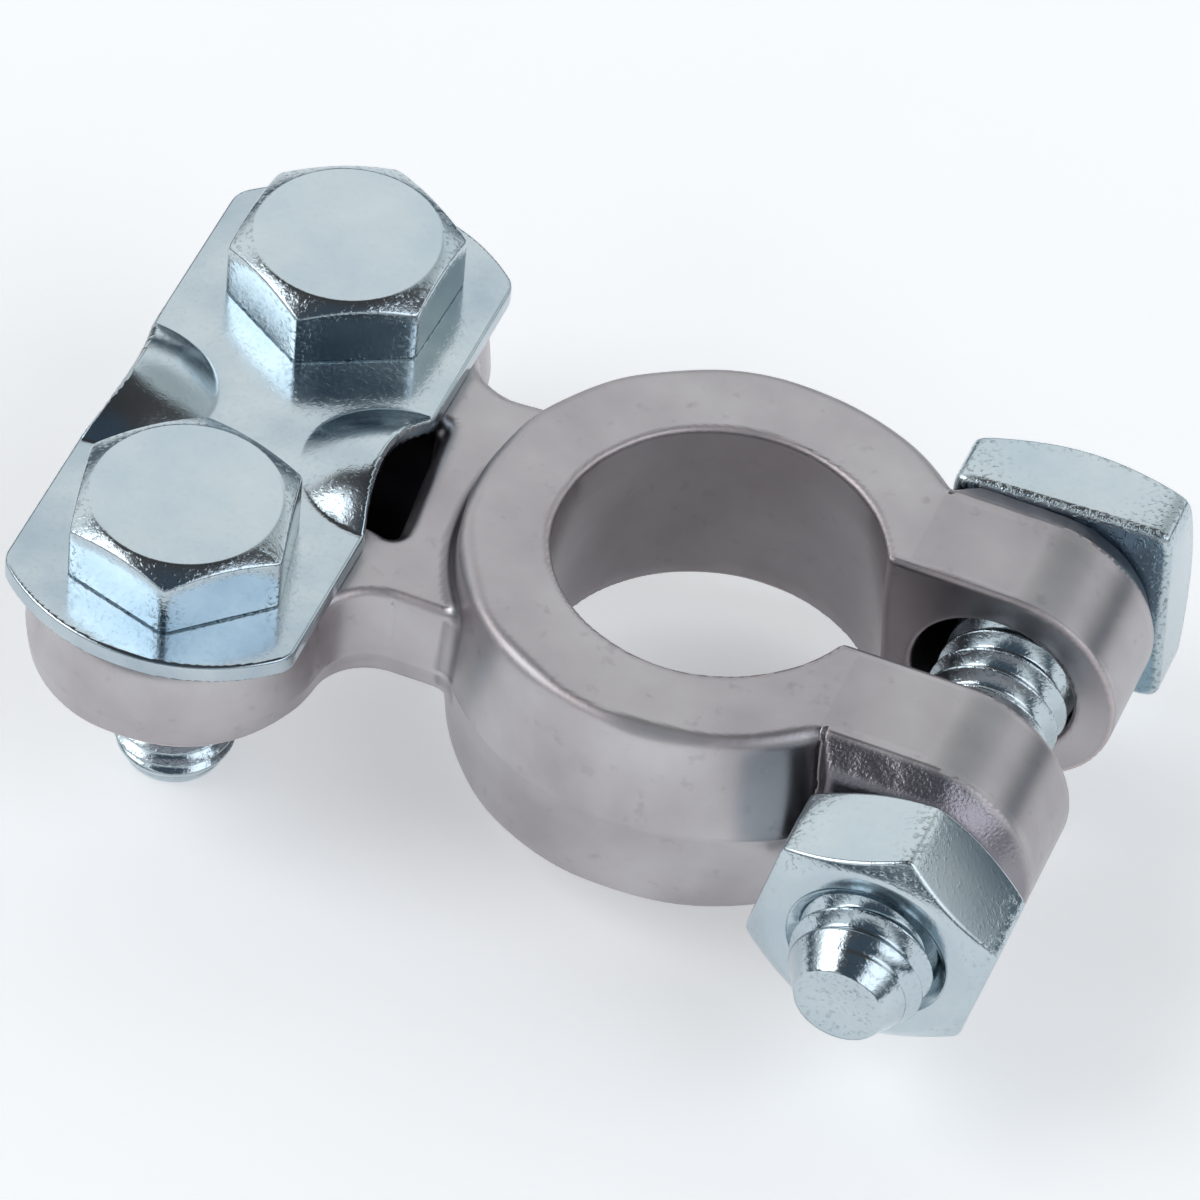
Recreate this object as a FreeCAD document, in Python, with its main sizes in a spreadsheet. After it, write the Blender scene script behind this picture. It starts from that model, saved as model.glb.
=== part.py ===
"""Battery terminal clamp: a cast split ring with two ears and a cable saddle, its square-head
clamp bolt and nut, and the pressed cable plate with its two hexagon bolts.

Frame: millimetres, +Z up, origin on the axis of the post bore at the bottom face of the ring.
+X points from the ring to the ears, -X to the cable saddle, +Y to the head of the clamp bolt.
"""
import FreeCAD, Part
import Sketcher
import os

V = FreeCAD.Vector

# Driving sizes, in millimetres and degrees.
SIZES = {
    # split ring and its post bore
    "ring_height": 13.75,
    "ring_parting_dia": 30.0,
    "parting_height": 6.6,
    "draft_angle": 6.0,
    "bore_top_dia": 18.5,
    "bore_taper": 9.0,
    "bore_lead_in": 1.6,
    "bore_land": 2.5,
    "slot_width": 6.9,
    # ears
    "ear_end_centre": 15.75,
    "ear_outer_face": 10.0,
    "boss_start": 10.0,
    "boss_rise": 1.9,
    "boss_draft": 28.0,
    "ear_hole_dia": 9.6,
    "ear_hole_place": 15.4,
    # neck and cable saddle
    "lug_spacing": 22.4,
    "lug_place": 27.1,
    "lug_radius": 8.6,
    "saddle_drop": 2.7,
    "saddle_bottom": 4.9,
    "neck_half_width": 8.95,
    "neck_corner_radius": 3.2,
    "trough_radius": 4.75,
    "trough_end": 16.7,
    "trough_corner": 1.2,
    # cable plate
    "plate_width": 17.2,
    "plate_length": 39.2,
    "plate_end_radius": 11.85,
    "plate_thickness": 1.2,
    "plate_shift": 0.4,
    "plate_hole_dia": 8.0,
    "mouth_half_width": 5.4,
    "mouth_rise": 2.6,
    "mouth_set_back": 0.55,
    # cable bolts
    "cable_thread_dia": 7.0,
    "cable_bolt_length": 16.2,
    "cable_head_flats": 11.8,
    "cable_head_height": 4.1,
    "cable_tip_dia": 5.7,
    "cable_tip_length": 1.4,
    "rear_head_angle": 28.3,
    "front_head_angle": 43.7,
    # clamp bolt and nut
    "clamp_axis_place": 16.1,
    "clamp_axis_drop": 0.175,
    "clamp_thread_dia": 8.0,
    "clamp_bolt_length": 33.9,
    "clamp_head_margin": 0.75,
    "clamp_head_height": 5.0,
    "clamp_head_tilt": 3.0,
    "clamp_tip_dia": 5.1,
    "clamp_tip_length": 2.6,
    "nut_flats": 13.0,
    "nut_height": 6.0,
    "nut_angle": 17.9,
    "nut_countersink_dia": 9.3,
    # fits and edges
    "thread_clearance": 0.05,
    "head_chamfer_angle": 27.0,
    "head_flat_share": 0.9,
    "edge_bevel": 0.4,
    "neck_bevel": 0.7,
}

# Sizes that follow from the driving ones, as formulas of the sheet.
DERIVED = {
    "ring_radius": "ring_parting_dia / 2",
    "ring_top_radius": "ring_radius - tan(draft_angle) * (ring_height - parting_height)",
    "ring_bottom_radius": "ring_radius - tan(draft_angle) * parting_height",
    "bore_top_radius": "bore_top_dia / 2",
    "bore_land_start": "ring_height - bore_land",
    "bore_low_radius": "bore_top_radius + (bore_land_start - bore_lead_in) / bore_taper / 2",
    "bore_mouth_radius": "bore_low_radius + bore_lead_in",
    "slot_half": "slot_width / 2",
    "ear_radius": "ring_height / 2",
    "ear_tip": "ear_end_centre + ear_radius",
    "slot_reach": "ear_tip + 1",
    "ear_hole_radius": "ear_hole_dia / 2",
    "boss_face": "ear_outer_face + boss_rise",
    "clamp_axis_height": "ear_radius - clamp_axis_drop",
    "clamp_head_flats": "ring_height - clamp_head_margin",
    "lug_half_spacing": "lug_spacing / 2",
    "lug_edge": "lug_place + lug_radius",
    "lug_outer": "lug_half_spacing + lug_radius",
    "lug_hole_radius": "cable_thread_dia / 2 + thread_clearance",
    "saddle_top": "ring_height - saddle_drop",
    "saddle_rise": "saddle_top - parting_height",
    "saddle_fall": "parting_height - saddle_bottom",
    "neck_root": "bore_top_radius + 1",
    "neck_corner_rise": "neck_half_width + neck_corner_radius - lug_half_spacing",
    "neck_corner_reach": "sqrt((lug_radius + neck_corner_radius) ^ 2 - neck_corner_rise ^ 2)",
    "neck_corner_place": "lug_place - neck_corner_reach",
    "neck_corner_height": "neck_half_width + neck_corner_radius",
    "neck_corner_share": "lug_radius / (lug_radius + neck_corner_radius)",
    "neck_meet_place": "lug_place - neck_corner_share * neck_corner_reach",
    "neck_meet_height": "lug_half_spacing + neck_corner_share * neck_corner_rise",
    "trough_corner_start": "trough_end + trough_corner",
    "trough_corner_foot": "trough_radius - trough_corner",
    "trough_mouth": "lug_edge + 1",
    "plate_half_width": "plate_width / 2",
    "plate_arc_centre": "plate_length / 2 - plate_end_radius",
    "plate_corner": "plate_arc_centre + sqrt(plate_end_radius ^ 2 - plate_half_width ^ 2)",
    "plate_top": "saddle_top + plate_thickness",
    "plate_hole_radius": "plate_hole_dia / 2",
    "mouth_radius": "(mouth_half_width ^ 2 + mouth_rise ^ 2) / 2 / mouth_rise",
    "mouth_top": "plate_thickness + mouth_rise",
    "mouth_centre": "mouth_radius - mouth_top",
    "mouth_inner_radius": "mouth_radius - plate_thickness",
    "mouth_angle": "2 * acos(mouth_centre / mouth_radius)",
    "mouth_inner_angle": "2 * acos(mouth_centre / mouth_inner_radius)",
    "mouth_trim_top": "mouth_top + 1",
    "mouth_trim_lean": "mouth_set_back * (mouth_rise + 1) / mouth_rise",
    "mouth_trim_reach": "mouth_radius + 1",
    "nut_bore_radius": "clamp_thread_dia / 2 + thread_clearance",
}

doc = FreeCAD.newDocument("battery_terminal_clamp")
sheet = doc.addObject("Spreadsheet::Sheet", "sizes")
cells = [(name, str(number)) for name, number in SIZES.items()]
cells += [(name, "=" + formula) for name, formula in DERIVED.items()]
for row, (name, content) in enumerate(cells, start=1):
    sheet.set(f"A{row}", name)
    sheet.set(f"B{row}", content)
    sheet.setAlias(f"B{row}", name)
doc.recompute()


def size(name):
    """Value of a size in the sheet; a leading minus sign turns it over and "0" is zero."""
    if name == "0":
        return 0.0
    sign = -1.0 if name.startswith("-") else 1.0
    return sign * float(sheet.get(name.lstrip("-")))


def flip(name, side):
    """The same size on the other side of zero where side is -1."""
    if side > 0 or name == "0":
        return name
    return name[1:] if name.startswith("-") else "-" + name


def make_body(label):
    body = doc.addObject("PartDesign::Body", label)
    body.Label = label
    return body


def make_sketch(body, name, role, offsets=()):
    """Sketch on an origin plane of its own body; offsets moves it by sizes in its own axes."""
    sketch = body.newObject("Sketcher::SketchObject", name)
    plane = next(f for f in body.Origin.OriginFeatures if f.Role == role)
    sketch.AttachmentSupport = (plane, [""])
    sketch.MapMode = "FlatFace"
    for axis, formula in offsets:
        sketch.setExpression("AttachmentOffset.Base." + axis, formula)
    return sketch


def fix_point(sketch, geo, end, x, y):
    """Holds one end of a sketch element where two named sizes put it."""
    for kind, name, axis in (("DistanceX", x, -2), ("DistanceY", y, -1)):
        if name == "0":
            sketch.addConstraint(Sketcher.Constraint("PointOnObject", geo, end, axis))
            continue
        place = size(name)
        if name.startswith("-"):
            rule = Sketcher.Constraint(kind, geo, end, -1, 1, -place)
        else:
            rule = Sketcher.Constraint(kind, -1, 1, geo, end, place)
        index = sketch.addConstraint(rule)
        sketch.setExpression(f"Constraints[{index}]", "sizes." + name.lstrip("-"))


def fix_radius(sketch, geo, name):
    index = sketch.addConstraint(Sketcher.Constraint("Radius", geo, size(name)))
    sketch.setExpression(f"Constraints[{index}]", "sizes." + name)


def draw_outline(sketch, corners, arcs=None):
    """Closed outline through named corners.

    arcs gives, for the number of the corner that an arc starts at, its radius and its centre.
    Every other side is straight.
    """
    arcs = arcs or {}
    points = [V(size(x), size(y), 0) for x, y in corners]
    count = len(points)
    ends = []
    for i, start in enumerate(points):
        end = points[(i + 1) % count]
        if i not in arcs:
            sketch.addGeometry(Part.LineSegment(start, end), False)
            ends.append((1, 2))
            continue
        radius, centre_x, centre_y = arcs[i]
        centre = V(size(centre_x), size(centre_y), 0)
        middle = centre + ((start - centre) + (end - centre)).normalize() * size(radius)
        if (start - centre).cross(end - centre).z > 0:
            sketch.addGeometry(Part.Arc(start, middle, end), False)
            ends.append((1, 2))
        else:
            sketch.addGeometry(Part.Arc(end, middle, start), False)
            ends.append((2, 1))
    for i in range(count):
        after = (i + 1) % count
        sketch.addConstraint(Sketcher.Constraint("Coincident", i, ends[i][1], after, ends[after][0]))
        fix_point(sketch, i, ends[i][0], *corners[i])
    for i in arcs:
        fix_radius(sketch, i, arcs[i][0])


def draw_circle(sketch, x, y, radius):
    ring = Part.Circle(V(size(x), size(y), 0), V(0, 0, 1), size(radius))
    geo = sketch.addGeometry(ring, False)
    fix_point(sketch, geo, 3, x, y)
    fix_radius(sketch, geo, radius)


def add_feature(body, kind, name, sketch, **settings):
    """PartDesign feature on a sketch; text settings that name a size are bound to the sheet."""
    feature = body.newObject("PartDesign::" + kind, name)
    feature.Profile = sketch
    sketch.Visibility = False
    for prop, setting in settings.items():
        if isinstance(setting, str) and not setting.startswith("="):
            setattr(feature, prop, setting)
        elif isinstance(setting, str):
            feature.setExpression(prop, setting[1:])
        else:
            setattr(feature, prop, setting)
    doc.recompute()
    return feature


def bevel_edges(body, name, width, wanted):
    """Bevels the edges of the body's present shape that wanted picks out."""
    base = body.Tip
    names = [f"Edge{i}" for i, edge in enumerate(base.Shape.Edges, start=1) if wanted(edge)]
    bevel = body.newObject("PartDesign::Chamfer", name)
    bevel.Base = (base, names)
    bevel.setExpression("Size", "sizes." + width)
    doc.recompute()
    return bevel


def is_rim(edge, height):
    """True for a level edge at this height, apart from arcs about the ring's own axis."""
    box = edge.BoundBox
    if box.ZLength > 1e-6 or abs(box.ZMin - height) > 1e-6:
        return False
    return not isinstance(edge.Curve, Part.Circle) or abs(edge.Curve.Center.x) > 1e-6


def is_arc(edge, radius, height):
    """True for an arc about a vertical axis with this radius at this height."""
    curve = edge.Curve
    if not isinstance(curve, Part.Circle) or abs(abs(curve.Axis.z) - 1) > 1e-6:
        return False
    return abs(curve.Radius - radius) < 1e-4 and abs(curve.Center.z - height) < 1e-4


# Casting: split ring, neck and two lugs, ears, then its bore, slot, holes and trough.
casting = make_body("clamp_body")

ring_section = make_sketch(casting, "ring_section", "XZ_Plane")
draw_outline(ring_section, [
    ("0", "0"),
    ("ring_bottom_radius", "0"),
    ("ring_radius", "parting_height"),
    ("ring_top_radius", "ring_height"),
    ("0", "ring_height"),
])
add_feature(casting, "Revolution", "ring", ring_section,
            ReferenceAxis=(ring_section, ["V_Axis"]), Angle=360.0)
bevel_edges(casting, "ring_edges", "edge_bevel",
            lambda e: is_arc(e, size("ring_top_radius"), size("ring_height"))
            or is_arc(e, size("ring_bottom_radius"), 0))

for label, depth, below in (("saddle_upper", "saddle_rise", False), ("saddle_lower", "saddle_fall", True)):
    plan = make_sketch(casting, label + "_plan", "XY_Plane", [("z", "sizes.parting_height")])
    draw_outline(plan, [
        ("-lug_edge", "lug_half_spacing"),
        ("-lug_place", "lug_outer"),
        ("-neck_meet_place", "neck_meet_height"),
        ("-neck_corner_place", "neck_half_width"),
        ("-neck_root", "neck_half_width"),
        ("-neck_root", "-neck_half_width"),
        ("-neck_corner_place", "-neck_half_width"),
        ("-neck_meet_place", "-neck_meet_height"),
        ("-lug_place", "-lug_outer"),
        ("-lug_edge", "-lug_half_spacing"),
    ], {
        0: ("lug_radius", "-lug_place", "lug_half_spacing"),
        1: ("lug_radius", "-lug_place", "lug_half_spacing"),
        2: ("neck_corner_radius", "-neck_corner_place", "neck_corner_height"),
        6: ("neck_corner_radius", "-neck_corner_place", "-neck_corner_height"),
        7: ("lug_radius", "-lug_place", "-lug_half_spacing"),
        8: ("lug_radius", "-lug_place", "-lug_half_spacing"),
    })
    add_feature(casting, "Pad", label, plan, Length="=sizes." + depth, Reversed=below,
                TaperAngle="=-sizes.draft_angle")
bevel_edges(casting, "saddle_top_edge", "neck_bevel", lambda e: is_rim(e, size("saddle_top")))
bevel_edges(casting, "saddle_bottom_edge", "edge_bevel", lambda e: is_rim(e, size("saddle_bottom")))

ear_arcs = {
    1: ("ear_radius", "ear_end_centre", "ear_radius"),
    2: ("ear_radius", "ear_end_centre", "ear_radius"),
}
ear_section = make_sketch(casting, "ear_section", "XZ_Plane")
draw_outline(ear_section, [
    ("0", "0"),
    ("ear_end_centre", "0"),
    ("ear_tip", "ear_radius"),
    ("ear_end_centre", "ring_height"),
    ("0", "ring_height"),
], ear_arcs)
add_feature(casting, "Pad", "ears", ear_section, SideType="Symmetric", Length="=2 * sizes.ear_outer_face")

for label, side in (("rear", 1), ("front", -1)):
    outline = make_sketch(casting, label + "_boss_outline", "XZ_Plane",
                          [("z", f"{-side} * sizes.ear_outer_face")])
    draw_outline(outline, [
        ("boss_start", "0"),
        ("ear_end_centre", "0"),
        ("ear_tip", "ear_radius"),
        ("ear_end_centre", "ring_height"),
        ("boss_start", "ring_height"),
    ], ear_arcs)
    add_feature(casting, "Pad", label + "_boss", outline, Length="=sizes.boss_rise", Reversed=side > 0,
                TaperAngle="=-sizes.boss_draft")

bore_section = make_sketch(casting, "bore_section", "XZ_Plane")
draw_outline(bore_section, [
    ("0", "0"),
    ("bore_mouth_radius", "0"),
    ("bore_low_radius", "bore_lead_in"),
    ("bore_top_radius", "bore_land_start"),
    ("bore_top_radius", "ring_height"),
    ("0", "ring_height"),
])
add_feature(casting, "Groove", "post_bore", bore_section,
            ReferenceAxis=(bore_section, ["V_Axis"]), Angle=360.0)

slot_plan = make_sketch(casting, "slot_plan", "XY_Plane")
draw_outline(slot_plan, [
    ("0", "-slot_half"),
    ("slot_reach", "-slot_half"),
    ("slot_reach", "slot_half"),
    ("0", "slot_half"),
])
add_feature(casting, "Pocket", "slot", slot_plan, Type="ThroughAll", SideType="Symmetric")

ear_hole_centre = make_sketch(casting, "ear_hole_centre", "XZ_Plane")
draw_circle(ear_hole_centre, "ear_hole_place", "clamp_axis_height", "ear_hole_radius")
add_feature(casting, "Pocket", "ear_hole", ear_hole_centre, Type="ThroughAll", SideType="Symmetric")

lug_hole_centres = make_sketch(casting, "lug_hole_centres", "XY_Plane")
draw_circle(lug_hole_centres, "-lug_place", "lug_half_spacing", "lug_hole_radius")
draw_circle(lug_hole_centres, "-lug_place", "-lug_half_spacing", "lug_hole_radius")
add_feature(casting, "Pocket", "lug_holes", lug_hole_centres, Type="ThroughAll", SideType="Symmetric")

trough_section = make_sketch(casting, "trough_section", "XZ_Plane", [("y", "sizes.saddle_top")])
draw_outline(trough_section, [
    ("-trough_mouth", "0"),
    ("-trough_mouth", "-trough_radius"),
    ("-trough_corner_start", "-trough_radius"),
    ("-trough_end", "-trough_corner_foot"),
    ("-trough_end", "0"),
])
add_feature(casting, "Groove", "cable_trough", trough_section,
            ReferenceAxis=(trough_section, ["H_Axis"]), Angle=360.0)

# Cable plate: sheet steel with a raised mouth pressed up at the middle of each long edge.
plate = make_body("cable_plate")
plate_plan = make_sketch(plate, "plate_plan", "XY_Plane")
draw_outline(plate_plan, [
    ("plate_half_width", "-plate_corner"),
    ("plate_half_width", "plate_corner"),
    ("-plate_half_width", "plate_corner"),
    ("-plate_half_width", "-plate_corner"),
], {
    1: ("plate_end_radius", "0", "plate_arc_centre"),
    3: ("plate_end_radius", "0", "-plate_arc_centre"),
})
add_feature(plate, "Pad", "sheet", plate_plan, Length="=sizes.plate_thickness")
for label, side in (("inner", 1), ("outer", -1)):
    edge = [("x", f"{side} * sizes.plate_half_width"), ("y", "-sizes.mouth_centre")]
    dome = make_sketch(plate, label + "_mouth_dome", "XZ_Plane", edge)
    draw_outline(dome, [
        ("0", "0"),
        ("0", "mouth_radius"),
        (flip("-mouth_radius", side), "0"),
    ], {1: ("mouth_radius", "0", "0")})
    add_feature(plate, "Revolution", label + "_mouth", dome, ReferenceAxis=(dome, ["H_Axis"]),
                Angle="=sizes.mouth_angle", Midplane=True)
for label, side in (("inner", 1), ("outer", -1)):
    edge = [("x", f"{side} * sizes.plate_half_width")]
    low_edge = edge + [("y", "-sizes.mouth_centre")]
    hollow = make_sketch(plate, label + "_mouth_hollow", "XZ_Plane", low_edge)
    draw_outline(hollow, [
        ("0", "0"),
        ("0", "mouth_inner_radius"),
        (flip("-mouth_inner_radius", side), "0"),
    ], {1: ("mouth_inner_radius", "0", "0")})
    add_feature(plate, "Groove", label + "_mouth_inside", hollow, ReferenceAxis=(hollow, ["H_Axis"]),
                Angle="=sizes.mouth_inner_angle", Midplane=True)
    trim = make_sketch(plate, label + "_mouth_trim", "XZ_Plane", edge)
    draw_outline(trim, [
        ("0", "0"),
        (flip("mouth_trim_reach", side), "0"),
        (flip("mouth_trim_reach", side), "mouth_trim_top"),
        (flip("-mouth_trim_lean", side), "mouth_trim_top"),
        ("0", "plate_thickness"),
    ])
    add_feature(plate, "Pocket", label + "_mouth_edge", trim, Type="ThroughAll", SideType="Symmetric")
underside = make_sketch(plate, "mouth_underside", "XY_Plane")
draw_outline(underside, [
    ("plate_half_width", "-mouth_radius"),
    ("plate_half_width", "mouth_radius"),
    ("-plate_half_width", "mouth_radius"),
    ("-plate_half_width", "-mouth_radius"),
])
add_feature(plate, "Pocket", "flat_underside", underside, Type="ThroughAll")
bolt_holes = make_sketch(plate, "plate_holes", "XY_Plane")
draw_circle(bolt_holes, "0", "lug_half_spacing", "plate_hole_radius")
draw_circle(bolt_holes, "0", "-lug_half_spacing", "plate_hole_radius")
add_feature(plate, "Pocket", "bolt_holes", bolt_holes, Type="ThroughAll", SideType="Symmetric")
plate.setExpression("Placement.Base.x", "-sizes.lug_place")
plate.setExpression("Placement.Base.y", "-sizes.plate_shift")
plate.setExpression("Placement.Base.z", "sizes.saddle_top")


def add_solid(kind, name, place=None, **sizes):
    """Part primitive whose sizes, height above its seat and turn are formulas of the sheet."""
    solid = doc.addObject("Part::" + kind, name)
    for prop, formula in sizes.items():
        if prop == "Polygon":
            solid.Polygon = formula
        else:
            solid.setExpression(prop, formula)
    if place:
        solid.setExpression("Placement.Base.z", place)
    return solid


def join(kind, label, parts):
    """Boolean of several solids; its Shapes are used up by the result."""
    result = doc.addObject("Part::" + kind, label)
    result.Label = label
    result.Shapes = parts
    return result


def add_prism(name, corners, flats, height, turn):
    """Upright prism with this many sides, measured across its flats and turned about its axis."""
    prism = add_solid("Prism", name, Polygon=corners, Height=height,
                      Circumradius=f"{flats} / 2 / cos(180 / {corners})")
    prism.Placement.Rotation = FreeCAD.Rotation(V(0, 0, 1), 1)
    prism.setExpression("Placement.Rotation.Angle", turn)
    return prism


def add_bolt(label, corners, head, thread, turn):
    """Bolt with its head's seat at z = 0, the head above it and the shank below."""
    flats, height = f"sizes.{head}_flats", f"sizes.{head}_height"
    dia, length = f"sizes.{thread}_thread_dia", f"sizes.{thread}_bolt_length"
    tip_dia, tip = f"sizes.{thread}_tip_dia", f"sizes.{thread}_tip_length"
    flat_circle = f"{flats} / 2 * sizes.head_flat_share"
    blank = add_prism(label + "_blank", corners, flats, height, turn)
    bevel = add_solid("Cone", label + "_bevel", Height=height, Radius2=flat_circle,
                      Radius1=f"{flat_circle} + {height} / tan(sizes.head_chamfer_angle)")
    top = join("MultiCommon", label + "_head", [blank, bevel])
    shank = add_solid("Cylinder", label + "_shank", f"{tip} - {length}",
                      Radius=f"{dia} / 2", Height=f"{length} - {tip}")
    point = add_solid("Cone", label + "_point", f"-{length}",
                      Radius1=f"{tip_dia} / 2", Radius2=f"{dia} / 2", Height=tip)
    return join("MultiFuse", label, [top, shank, point])


# Clamp bolt: square head against the rear boss, axis along Y.
clamp_bolt = add_bolt("clamp_bolt", 4, "clamp_head", "clamp", "45 - sizes.clamp_head_tilt")
clamp_bolt.Placement = FreeCAD.Placement(V(0, 0, 0), FreeCAD.Rotation(V(1, 0, 0), -90))
clamp_bolt.setExpression("Placement.Base.x", "sizes.clamp_axis_place")
clamp_bolt.setExpression("Placement.Base.y", "sizes.boss_face")
clamp_bolt.setExpression("Placement.Base.z", "sizes.clamp_axis_height")

# Clamp nut: hexagon chamfered on both faces, with a countersink at each end of its thread.
nut_blank = add_prism("nut_blank", 6, "sizes.nut_flats", "sizes.nut_height", "sizes.nut_angle")
nut_flat_circle = "sizes.nut_flats / 2 * sizes.head_flat_share"
nut_wide_circle = f"{nut_flat_circle} + sizes.nut_height / tan(sizes.head_chamfer_angle)"
nut_bevels = [
    add_solid("Cone", "nut_front_bevel", Height="sizes.nut_height",
              Radius1=nut_wide_circle, Radius2=nut_flat_circle),
    add_solid("Cone", "nut_back_bevel", Height="sizes.nut_height",
              Radius1=nut_flat_circle, Radius2=nut_wide_circle),
]
nut_outside = join("MultiCommon", "nut_outside", [nut_blank] + nut_bevels)
sink = "(sizes.nut_countersink_dia / 2 - sizes.nut_bore_radius)"
nut_inside = join("MultiFuse", "nut_inside", [
    add_solid("Cylinder", "nut_thread", Height="sizes.nut_height", Radius="sizes.nut_bore_radius"),
    add_solid("Cone", "nut_back_sink", Height=sink, Radius1="sizes.nut_countersink_dia / 2",
              Radius2="sizes.nut_bore_radius"),
    add_solid("Cone", "nut_front_sink", f"sizes.nut_height - {sink}", Height=sink,
              Radius1="sizes.nut_bore_radius", Radius2="sizes.nut_countersink_dia / 2"),
])
clamp_nut = doc.addObject("Part::Cut", "clamp_nut")
clamp_nut.Base = nut_outside
clamp_nut.Tool = nut_inside
clamp_nut.Placement = FreeCAD.Placement(V(0, 0, 0), FreeCAD.Rotation(V(1, 0, 0), 90))
clamp_nut.setExpression("Placement.Base.x", "sizes.clamp_axis_place")
clamp_nut.setExpression("Placement.Base.y", "-sizes.boss_face")
clamp_nut.setExpression("Placement.Base.z", "sizes.clamp_axis_height")

# Cable bolts: hexagon heads on the plate, shanks through it into the lugs.
cable_bolts = []
for label, side, turn in (("cable_bolt_rear", "", "rear"), ("cable_bolt_front", "-", "front")):
    bolt = add_bolt(label, 6, "cable_head", "cable", f"sizes.{turn}_head_angle")
    bolt.setExpression("Placement.Base.x", "-sizes.lug_place")
    bolt.setExpression("Placement.Base.y", f"{side}sizes.lug_half_spacing")
    bolt.setExpression("Placement.Base.z", "sizes.plate_top")
    cable_bolts.append(bolt)

doc.recompute()

for thing in doc.Objects:
    if "Invalid" in thing.State or "Error" in thing.State:
        raise RuntimeError(f"{thing.Label} failed: {thing.State}")
pieces = [casting, clamp_bolt, clamp_nut, plate] + cable_bolts
for piece in pieces:
    if piece.Shape.isNull() or not piece.Shape.isValid() or len(piece.Shape.Solids) != 1:
        raise RuntimeError(f"{piece.Label} is not one valid solid")

os.makedirs("parts", exist_ok=True)
for piece in pieces:
    piece.Shape.exportStep(f"parts/{piece.Label}.step")
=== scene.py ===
"""Battery terminal clamp, dressed: the tin plated casting, its clamp bolt and nut, the cable plate
and the two cable bolts, on a pale floor. Lengths in this script are millimetres until a mesh is
made.
"""
import math

import bpy
import numpy as np
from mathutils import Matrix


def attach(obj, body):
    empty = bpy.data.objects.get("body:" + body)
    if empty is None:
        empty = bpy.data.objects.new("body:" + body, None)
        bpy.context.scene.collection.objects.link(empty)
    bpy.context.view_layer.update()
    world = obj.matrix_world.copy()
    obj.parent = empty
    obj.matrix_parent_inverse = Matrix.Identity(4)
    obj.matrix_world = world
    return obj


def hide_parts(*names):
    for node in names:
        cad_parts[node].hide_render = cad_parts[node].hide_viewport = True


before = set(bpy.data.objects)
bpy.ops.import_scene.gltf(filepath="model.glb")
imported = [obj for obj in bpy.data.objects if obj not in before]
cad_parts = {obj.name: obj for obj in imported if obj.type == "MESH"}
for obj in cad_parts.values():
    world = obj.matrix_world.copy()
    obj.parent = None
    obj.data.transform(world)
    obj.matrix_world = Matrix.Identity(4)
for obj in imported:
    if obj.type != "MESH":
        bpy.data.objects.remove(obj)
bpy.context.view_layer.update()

# The clamp is one casting: a split ring, two ears for the clamp bolt and a neck with two lugs.
# It is brass, sand cast in two halves that part at mid height, tumbled smooth and tin plated,
# so every edge is softly rounded. Its trough, slot, bore and inner corners are painted darker as
# shade, and its outer edges paler, partly as wear and partly as painted highlight.
MM = 0.001
RING_HEIGHT = 13.75
PARTING = 6.6
DRAFT = math.radians(6.0)
RING_RADIUS = 15.0
BORE_RADIUS = 9.25
BORE_LAND_FOOT = 11.25
BORE_TAPER = 18.0
BORE_LEAD_IN = 1.6
SLOT_HALF = 3.45
EAR_END = 15.75
EAR_RADIUS = 6.875
EAR_FACE = 10.0
EAR_HOLE_X = 15.4
EAR_HOLE_RADIUS = 4.8
BOSS_START = 10.0
BOSS_FACE = 11.9
BOSS_DRAFT = math.radians(28.0)
CLAMP_X = 16.1
CLAMP_Z = 6.7
LUG_X = -27.1
LUG_Y = 11.2
LUG_RADIUS = 8.6
LUG_HOLE_RADIUS = 3.55
NECK_HALF = 8.95
NECK_CORNER = (-15.338, 12.15, 3.2)
SADDLE_TOP = 11.05
SADDLE_FOOT = 4.9
TROUGH_RADIUS = 4.5
TROUGH_Y = 0.25
TROUGH_END = -17.8
TROUGH_SLANT = 0.11
CAD_TROUGH_END = -16.7
SLOPE_STEP = 1e-3
AXES = np.eye(3)[:, :, None]


def linear(colour):
    """Linear RGBA of an sRGB hex colour."""
    parts = [int(colour[i:i + 2], 16) / 255 for i in (1, 3, 5)]
    rgb = tuple(c / 12.92 if c <= 0.04045 else ((c + 0.055) / 1.055) ** 2.4 for c in parts)
    return rgb + (1.0,)


def add_node(tree, kind, inputs=None, **settings):
    """Adds a node with these settings; inputs gives each socket its value or the socket it comes
    from."""
    node = tree.nodes.new("ShaderNode" + kind)
    for name, value in settings.items():
        setattr(node, name, value)
    for name, value in (inputs or {}).items():
        if isinstance(value, bpy.types.NodeSocket):
            tree.links.new(value, node.inputs[name])
        else:
            node.inputs[name].default_value = value
    return node


def common(a, b, radius):
    """Common part of two solids given by their distances: the larger distance, and where both are
    within radius of zero, the distance to a round edge of that radius."""
    rounded = np.hypot(np.maximum(a + radius, 0), np.maximum(b + radius, 0))
    return np.minimum(np.maximum(a, b), -radius) + rounded


def joined(a, b, radius):
    """Union of two solids given by their distances, its inner corner filled to radius."""
    return -common(-a, -b, radius)


def ripple(x, y, z, length, seed):
    """Smooth unevenness from 0 to 1: a half plus half the sine of a sum of nine waves over 2.2. The
    waves are of about this length and run in fixed random directions."""
    rng = np.random.default_rng(seed)
    ways = rng.normal(size=(9, 3))
    counts = 2 * math.pi / length * rng.uniform(0.7, 1.4, 9)
    ways *= (counts / np.linalg.norm(ways, axis=1))[:, None]
    phases = rng.uniform(0, 6.28, 9)
    total = sum(np.sin(w[0] * x + w[1] * y + w[2] * z + p) for w, p in zip(ways, phases))
    return 0.5 + 0.5 * np.sin(total / 2.2)


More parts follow.
